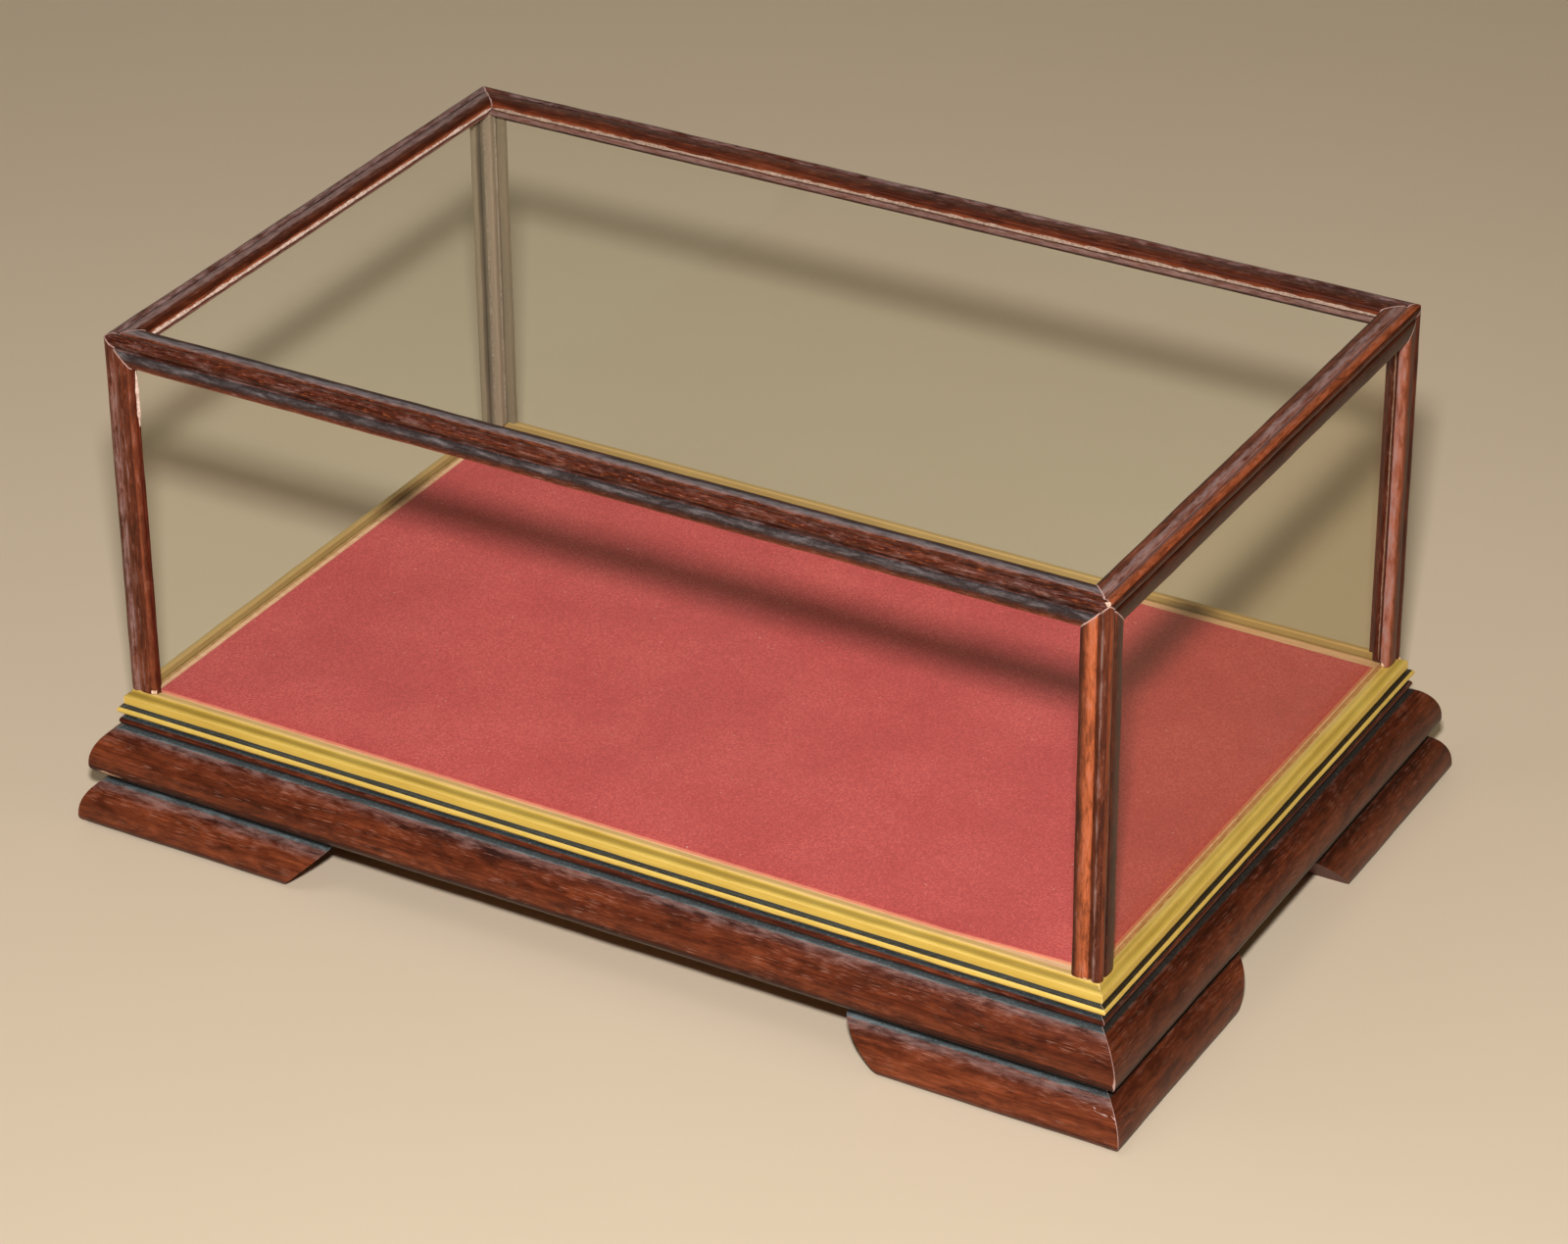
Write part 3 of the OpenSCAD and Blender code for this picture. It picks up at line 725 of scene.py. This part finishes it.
def felt(name):
    t = Tree(name)
    place = t.place()
    cloud = t.noise(place, (22, 22, 22), detail=4, rough=0.6)
    mottle = t.noise(place, (1300, 1300, 1300), detail=4, rough=0.65)
    fibre = t.noise(place, (2600, 900, 900), detail=3, rough=0.6, distort=1.2, turn=(0, 0, 0.7))
    tone = t.plus(t.times(mottle, 0.55), t.plus(t.times(cloud, 0.2), t.times(fibre, 0.25)))
    colour = t.ramp(tone, [(0.38, (180, 56, 58)), (0.5, (203, 72, 72)), (0.62, (228, 100, 94))])
    # Short pale fibres and a few white specks
    hair = t.cells(place, (1500, 260, 1), turn=(0, 0, 0.45))
    hair = t.times(t.ease(hair, 0.10, 0.22, 1.0, 0.0), t.ease(cloud, 0.42, 0.58))
    colour = t.mix(t.times(hair, 0.35), colour, (236, 150, 140))
    speck = t.ease(t.cells(place, (420, 420, 420)), 0.07, 0.12, 1.0, 0.0)
    few = t.ease(t.noise(place, (90, 90, 90), detail=2), 0.60, 0.66)
    colour = t.mix(t.times(t.times(speck, few), 0.8), colour, (244, 206, 196))
    rim = t.ease(t.plus(t.attr("rim"), t.times(mottle, 0.0006)), 0.0003, 0.0012, 1.0, 0.0)
    colour = t.mix(t.times(rim, 0.8), colour, (232, 150, 116))
    normal = t.bump(t.blend(0.5, mottle, fibre), 0.0004, 0.8)
    shader = t.principled(Base_Color=colour, Roughness=0.95, Normal=normal, Sheen_Weight=0.12,
                          Sheen_Roughness=0.5, Sheen_Tint=srgb(240, 190, 186))
    return t.surface(shader)


def pane(name, tint):
    t = Tree(name)
    place = t.place()
    clear = t.add("ShaderNodeBsdfTransparent", {"Color": tint}).outputs[0]
    mirror = t.add("ShaderNodeBsdfGlossy", {"Color": (1, 1, 1, 1), "Roughness": 0.02}).outputs[0]
    # Schlick's reflectance, the same from both sides of each face of the pane
    facing = t.add("ShaderNodeLayerWeight", {"Blend": 0.5}).outputs["Facing"]
    shine = t.plus(t.times(t.math("POWER", facing, 5.0), 0.25), 0.012)
    glass = t.add("ShaderNodeMixShader", {0: shine, 1: clear, 2: mirror}).outputs[0]
    smear = t.ease(t.noise(place, (9, 9, 9), detail=4, rough=0.6), 0.3, 0.8, 0.0, 0.006)
    speck = t.ease(t.cells(place, (120, 120, 120)), 0.018, 0.030, 0.7, 0.0)
    rare = t.ease(t.noise(place, (31, 31, 31), detail=1), 0.62, 0.66)
    haze = t.math("MAXIMUM", smear, t.times(speck, rare))
    dust = t.add("ShaderNodeBsdfDiffuse", {"Color": srgb(224, 220, 205)}).outputs[0]
    return t.surface(t.add("ShaderNodeMixShader", {0: haze, 1: glass, 2: dust}).outputs[0])


def steel(name):
    t = Tree(name)
    place = t.place()
    mark = t.noise(place, (900, 900, 900), detail=3)
    colour = t.ramp(mark, [(0.35, (120, 112, 98)), (0.65, (176, 168, 152))])
    return t.surface(t.principled(Base_Color=colour, Metallic=0.9, Roughness=t.blend(mark, 0.3, 0.6)))


def putty(name, low, high):
    t = Tree(name)
    place = t.place()
    lumps = t.noise(place, (900, 900, 900), detail=4, rough=0.6)
    colour = t.ramp(lumps, [(0.35, low), (0.65, high)])
    return t.surface(t.principled(Base_Color=colour, Roughness=0.7, Normal=t.bump(lumps, 0.0002, 0.6)))


def floor_material(name):
    t = Tree(name)
    place = t.place()
    cloud = t.noise(place, (3, 3, 3), detail=3)
    colour = t.mix(cloud, (214, 194, 166), (220, 201, 174))
    return t.surface(t.principled(Base_Color=colour, Roughness=0.6))


MAHOGANY = mahogany("mahogany_moulding", pores=1.0, contrast=1.5, worn=0.2)
BAR_WOOD = mahogany("mahogany_bar", pores=0.3, contrast=1.3, worn=0.4, film_top=0.8, dark_paint=(44, 36, 38),
                    fleck_paint=(120, 108, 112), cool_film=(118, 116, 120))
END_WOOD = end_grain("mahogany_end_grain")
GOLD = gilding("gilding")
PINE = softwood("softwood")
FELT = felt("felt")
GLASS = pane("glass", (0.985, 0.99, 0.975, 1))
# The right pane is tinted warm as a painted reflection of the warm room in it
WARM_REFLECTION_GLASS = pane("glass_right", (0.93, 0.91, 0.85, 1))
STEEL = steel("screw_steel")
PUTTY = putty("putty", (176, 138, 120), (228, 204, 186))
DUSTY_PUTTY = putty("putty_dusty", (122, 98, 80), (178, 148, 128))
GREY_PUTTY = putty("putty_grey", (116, 104, 86), (150, 136, 114))


# ---------------------------------------------------------------- pieces

def half_run(side):
    return HALF_W if side % 2 == 0 else HALF_D


def along_side(side):
    """Places points on one side of the case: run along it, out from the cover's face, up."""
    half_out = half_run(side + 1)
    c, s = ((1, 0), (0, 1), (-1, 0), (0, -1))[side]

    def place(run, out, up):
        x, y = run, -(half_out + out)
        return np.stack([c * x - s * y, s * x + c * y, up], axis=-1)
    return place


def along_rail(side):
    """Places points on a top rail: run along it, depth from its outer face, depth from its top."""
    place = along_side(side)
    return lambda run, u, v: place(run, -u, COVER_TOP - v)


def along_post(sx, sy):
    """Places points on a corner post: up, depth from its side face, depth from its front or back face."""
    return lambda up, u, v: np.stack([sx * (HALF_W - u), sy * (HALF_D - v), up], axis=-1)


def foot_point(z):
    """The point at height z on a foot's thumb moulding."""
    return (FOOT_OUT - THUMB_R + math.sqrt(THUMB_R ** 2 - (z - FOOT_NOSE_Z) ** 2), z)


plinth, foot = Outline(plinth_outline(), PLINTH_LOOK), Outline(foot_outline(), FOOT_LOOK)
bars = {name: Outline(bar_outline(), look) for name, look in BAR_LOOKS.items()}
# How blue-grey the black paint looks on each side of the base, partly a painted sheen, and how much
# painted shade darkens the wood there, most on the right side, which is turned from the light
SIDE_SHEEN_AND_SHADE = {"front": (1.0, 0.12), "right": (0.25, 0.42), "back": (0.6, 0.1), "left": (0.8, 0.1)}
DUSTY_POST = "back_left"
# Knocks, scratches and opened mitres: (run, outline point, reach along, reach across, depth)
CHIPS = {
    "plinth_front": [(-HALF_W - 4, (12.2, FOOT_H + 1.7), 5.5, 0.9, 0.2),
                     (HALF_W, (12.6, FOOT_H + 4.0), 0, 4.5, 0)],
    "plinth_right": [(-HALF_D, (12.6, FOOT_H + 4.0), 0, 4.5, 0)],
    "foot_front_right_leg": [(HALF_W + 14.5 - 1.2 * i, foot_point(11.6 + 0.2 * i + 0.7 * math.sin(0.9 * i)),
                              0.9, 0.5, 0) for i in range(9)],
    "gilt_right": [(HALF_D - 1.5, (-0.6, GILT_TOP - 0.1), 2.2, 1.6, 0.3)],
    "foot_front_left_leg": [(1 - (HALF_W + FOOT_OUT), (15.6, 1.2), 2.2, 1.4, 0.4)],
    "rail_front": [(HALF_W - 1.2, (1.4, 0.2), 1.8, 1.4, 0.35)],
    "rail_right": [(1.2 - HALF_D, (1.4, 0.2), 1.5, 1.2, 0.3)],
    "post_front_left": [(COVER_BOTTOM + 0.6, (10.4, 0.5), 1.8, 1.8, 0.35),
                        (COVER_BOTTOM + 0.8, (0.4, 3.4), 1.6, 0.9, 0.3)],
    "post_front_right": [(COVER_BOTTOM - 0.4, (5.8, 0.4), 1.2, 2.6, 0.35)],
    "post_back_right": [(COVER_BOTTOM, (3.0, 10.8), 1.6, 1.6, 0.3)],
}
# What widens the pale lines of the cover's mitres
COVER_MITRE = 0.35

# Seeds: 11, 31, 51, 71 and 91 on for the kinds of moulding, and 201 on for the putty
for side, name in enumerate(SIDES):
    run, (sheen_and_tone, side_shade) = half_run(side), SIDE_SHEEN_AND_SHADE[name]

    def mitre(p):
        return run + p[:, 0]

    def other_mitre(p):
        return -mitre(p)

    obj = sweep(f"visual_plinth_{name}", plinth, other_mitre, mitre, along_side(side), 11 + side,
                chips=CHIPS.get(f"plinth_{name}", ()), sheen_and_tone=sheen_and_tone, side_shade=side_shade)
    finish_piece(obj, "base", [MAHOGANY, END_WOOD], [f"plinth_moulding_{name}"])

    gilt = Outline(gilt_outline(), GILT_SIDE_LOOK if name == "right" else GILT_LOOK)
    obj = sweep(f"visual_gilt_{name}", gilt, other_mitre, mitre, along_side(side), 31 + side,
                chips=CHIPS.get(f"gilt_{name}", ()), sheen_and_tone=sheen_and_tone)
    finish_piece(obj, "base", [GOLD, PINE], [f"gilt_slip_{name}"])

    # Two foot legs: the corner end is a mitre, the other end is cut square and then undercut
    def cut(p):
        return run + FOOT_OUT - LEG_L + np.clip(FOOT_LEDGE - p[:, 1], 0, None)

    for hand in (-1, 1):
        node = f"foot_{name}_{SIDES[(side + hand) % 4]}_leg"
        if hand > 0:
            ends, worn_ends = (cut, mitre), (0, 1)
        else:
            ends, worn_ends = (other_mitre, lambda p: -cut(p)), (1, 0)
        obj = sweep(f"visual_{node}", foot, *ends, along_side(side), 51 + 2 * side + (hand > 0), 3.0,
                    chips=CHIPS.get(node, ()), worn_ends=worn_ends, sheen_and_tone=sheen_and_tone, side_shade=side_shade)
        finish_piece(obj, "base", [MAHOGANY, END_WOOD], [node])

    def rail_mitre(p):
        return run - p.max(axis=1)

    obj = sweep(f"visual_top_rail_{name}", bars[f"rail_{name}"], lambda p: -rail_mitre(p), rail_mitre,
                along_rail(side), 71 + side, chips=CHIPS.get(f"rail_{name}", ()), fold=BAR_FOLD, sheen_and_tone=0.8,
                mitre=COVER_MITRE)
    finish_piece(obj, "cover", [BAR_WOOD, END_WOOD], [f"top_rail_{name}"])

for number, (name, (sx, sy)) in enumerate(CORNERS.items()):
    obj = sweep(f"visual_post_{name}", bars[f"post_{name}"], lambda p: np.full(len(p), COVER_BOTTOM),
                lambda p: COVER_TOP - p.max(axis=1), along_post(sx, sy), 91 + number, 3.0,
                chips=CHIPS.get(f"post_{name}", ()), fold=BAR_FOLD, worn_ends=(0, 1), sheen_and_tone=0.6,
                veil=0.85 if name == DUSTY_POST else 0.0, mitre=COVER_MITRE)
    finish_piece(obj, "cover", [BAR_WOOD, END_WOOD], [f"post_{name}"])


# ---------------------------------------------------------------- putty

def putty_bead(name, place, run0, run1, corner, size, seed, material=PUTTY):
    """A ragged bevel of putty from a corner between a pane and its bar: size is its widest along (u, v)."""
    local = np.random.default_rng(seed)
    runs, knots = np.arange(run0, run1, 1.1), np.arange(run0, run1 + 4, 2.9)
    reach = np.interp(runs, knots, local.uniform(0.45, 1.0, len(knots))) * local.uniform(0.85, 1, len(runs))
    reach = (reach * np.clip(np.minimum(runs - run0, runs[-1] - runs) / 6 + 0.25, 0, 1))[:, None]
    u = corner[0] + math.copysign(0.02, size[0]) + reach * np.array([0, 1, 0]) * size[0]
    v = corner[1] + math.copysign(0.02, size[1]) + reach * np.array([0, 0, 1]) * size[1]
    verts = place(np.repeat(runs[:, None], 3, axis=1), u, v).reshape(-1, 3) * MM
    index = np.arange(u.size).reshape(u.shape)
    after = np.roll(index, -1, axis=1)
    quads = np.stack([index[:-1], index[1:], after[1:], after[:-1]], axis=-1).reshape(-1, 4)
    faces = quads.tolist() + [index[0].tolist(), index[-1][::-1].tolist()]
    a, b, c = verts[index[0, 0]], verts[index[1, 0]], verts[index[0, 1]]
    if np.dot(np.cross(b - a, c - a), a - verts[index[0]].mean(axis=0)) < 0:
        faces = [face[::-1] for face in faces]
    obj = mesh_object(name, verts, faces)
    smooth_shade(obj.data)
    finish_piece(obj, "cover", [material])


# Where the putty starts and how far it reaches: inside the case, in either of a bar's rabbets, or crept out
# over the glass; and how far it stays clear of the next bar
INSIDE = ((CORE, PANE_IN), (0.8, 0.8))
INSIDE_TOO = (INSIDE[0][::-1], INSIDE[1])
CREPT = ((BAR, PANE_OUT), (0.9, -1.3))
CREPT_RAILS, CREPT_POST, CREPT_HEIGHT = ("left", "back"), "front_left", 24
CLEAR = 0.1

for side, name in enumerate(SIDES):
    crept = name in CREPT_RAILS
    reach = half_run(side) - (BAR if crept else CORE) - CLEAR
    putty_bead(f"visual_putty_{name}_top", along_rail(side), -reach, reach, *(CREPT if crept else INSIDE),
               201 + side, DUSTY_PUTTY if name == "back" else PUTTY)
    reach = half_run(side) - CORE
    putty_bead(f"visual_putty_{name}_side", along_rail(side), -reach, reach, *INSIDE_TOO, 211 + side)

for number, (name, signs) in enumerate(CORNERS.items()):
    crept = name == CREPT_POST
    bottom, high = COVER_BOTTOM + 0.6, COVER_TOP - (BAR if crept else CORE) - CLEAR
    low = high - CREPT_HEIGHT if crept else bottom
    material = GREY_PUTTY if name == DUSTY_POST else PUTTY
    putty_bead(f"visual_putty_post_{name}_x", along_post(*signs), low, high,
               *(CREPT if crept else INSIDE), 221 + number, material)
    putty_bead(f"visual_putty_post_{name}_y", along_post(*signs), bottom, COVER_TOP - CORE,
               *INSIDE_TOO, 231 + number, material)


# ---------------------------------------------------------------- felt

def felt_sheet():
    """A thin fuzzy sheet on the board, cut a little smaller, with slightly uneven edges."""
    # The sheet's edges, at the margins from the cover's faces that the photo shows
    left, right = 8.3 - HALF_W, HALF_W - 6.8
    fine = np.array([0, 0.4, 0.9, 1.6, 2.6, 4])
    xs = np.concatenate([left + fine, np.arange(left + 6, right - 5, 2.0), right - fine[::-1]])
    thin = fine / (2 * HALF_D)
    across = np.concatenate([thin, np.linspace(0.03, 0.97, 100), 1 - thin[::-1]])
    front = 6.3 + 3.3 * np.clip((xs - 140) / (HALF_W - 140), 0, 1) - HALF_D
    back = HALF_D - np.interp(xs, [-HALF_W, 60, HALF_W], [8, 9, 11])
    front += 0.10 * np.sin(xs * 0.9) * np.sin(xs * 0.23 + 1)
    back += 0.10 * np.sin(xs * 0.8 + 2) * np.sin(xs * 0.31)
    px = np.repeat(xs[:, None], len(across), axis=1)
    py = front[:, None] + (back - front)[:, None] * across[None, :]
    rim = np.minimum.reduce([px - left, right - px, py - front[:, None], back[:, None] - py])
    px += 0.10 * np.sin(py * 0.8 + 2) * np.sin(py * 0.31) * np.exp(-rim)
    base, height = BOARD_TOP + 0.02, FELT_TOP - BOARD_TOP - 0.04
    top = base + height * (1 - 0.35 * np.exp(-rim / 0.35)) + 0.03 * np.sin(px * 0.11 + 1) * np.sin(py * 0.13)
    count = px.size
    number = np.arange(count).reshape(px.shape)
    quads = np.stack([number[:-1, :-1], number[1:, :-1], number[1:, 1:], number[:-1, 1:]], axis=-1)
    quads = quads.reshape(-1, 4)
    loop = np.concatenate([number[:-1, 0], number[-1, :-1], number[:0:-1, -1], number[0, :0:-1]])
    after = np.roll(loop, -1)
    walls = np.stack([after, loop, loop + count, after + count], axis=1)
    faces = np.concatenate([quads, quads[:, ::-1] + count, walls]).tolist()
    upper = np.stack([px, py, top], axis=-1).reshape(-1, 3)
    lower = np.stack([px, py, np.full(px.shape, base)], axis=-1).reshape(-1, 3)
    obj = mesh_object("visual_felt", np.concatenate([upper, lower]) * MM, faces)
    put(obj.data, "rim", np.tile(rim.reshape(-1), 2) * MM)
    smooth_shade(obj.data, 50)
    finish_piece(obj, "base", [FELT], ["felt_lining"])


felt_sheet()

# The pieces that stay as the CAD has them, with better materials
kept_nodes = {"base_board": PINE, "board_screws": STEEL,
              **{f"foot_block_{corner}": PINE for corner in CORNERS},
              **{f"glass_{name}": GLASS for name in SIDES + ("top",)}, "glass_right": WARM_REFLECTION_GLASS}
for node, material in kept_nodes.items():
    nodes[node].data.materials.clear()
    nodes[node].data.materials.append(material)


# ---------------------------------------------------------------- floor, light and camera

def area_light(name, place, aim, size, power, colour):
    light = bpy.data.lights.new(name, "AREA")
    light.energy, light.color, light.size = power, colour, size
    obj = new_object(name, light)
    obj.location = place
    obj.rotation_euler = (Vector(aim) - Vector(place)).to_track_quat("-Z", "Y").to_euler()


HALF_FLOOR = 6.0
corners = HALF_FLOOR * np.array([(-1, -1, 0), (1, -1, 0), (1, 1, 0), (-1, 1, 0)])
floor = mesh_object("floor", corners, [(0, 1, 2, 3)])
floor.data.materials.append(floor_material("floor"))
floor.location.z = -0.0002

# The key light is a flash above the camera; its place is where the rails' shadows on the felt point
area_light("key", (0.747, -1.31, 1.195), (0, 0, 0.08), 0.095, 40, (0.97, 0.97, 1.0))
area_light("fill_above", (-0.40, -0.62, 1.75), (0, 0, 0.1), 0.8, 4, (0.92, 0.97, 1.0))
area_light("fill_right", (1.9, 0.9, 0.5), (0, 0, 0.1), 1.0, 1, (1.0, 0.78, 0.45))
area_light("fill_back", (-1.1, 1.7, 0.8), (0, 0, 0.1), 1.5, 1.5, (1.0, 0.95, 0.88))

world = bpy.data.worlds.new("studio")
world.use_nodes = True
background = world.node_tree.nodes["Background"].inputs
background["Color"].default_value = (1.0, 0.80, 0.45, 1)
background["Strength"].default_value = 0.13
bpy.context.scene.world = world


def make_camera():
    """The photo's camera, as solved from the object's corners."""
    azimuth, elevation, roll = (math.radians(a) for a in (29.982, 29.937, -0.4636))
    back = Vector((math.sin(azimuth) * math.cos(elevation), -math.cos(azimuth) * math.cos(elevation),
                   math.sin(elevation)))
    right = Vector((math.cos(azimuth), math.sin(azimuth), 0))
    up = back.cross(right)
    x = math.cos(roll) * right + math.sin(roll) * up
    y = -math.sin(roll) * right + math.cos(roll) * up
    target, distance, focal_length = Vector((0.00919, -0.00406, 0.080)), 1.83777, 114.99
    lens = bpy.data.cameras.new("camera")
    lens.lens, lens.sensor_width, lens.sensor_fit = focal_length, 36, "HORIZONTAL"
    lens.clip_start, lens.clip_end = 0.05, 50
    camera = new_object("camera", lens)
    place = target + back * distance
    camera.matrix_world = Matrix(((x.x, y.x, back.x, place.x), (x.y, y.y, back.y, place.y),
                                  (x.z, y.z, back.z, place.z), (0, 0, 0, 1)))
    bpy.context.scene.camera = camera


make_camera()
bpy.context.scene.view_settings.view_transform = "Standard"
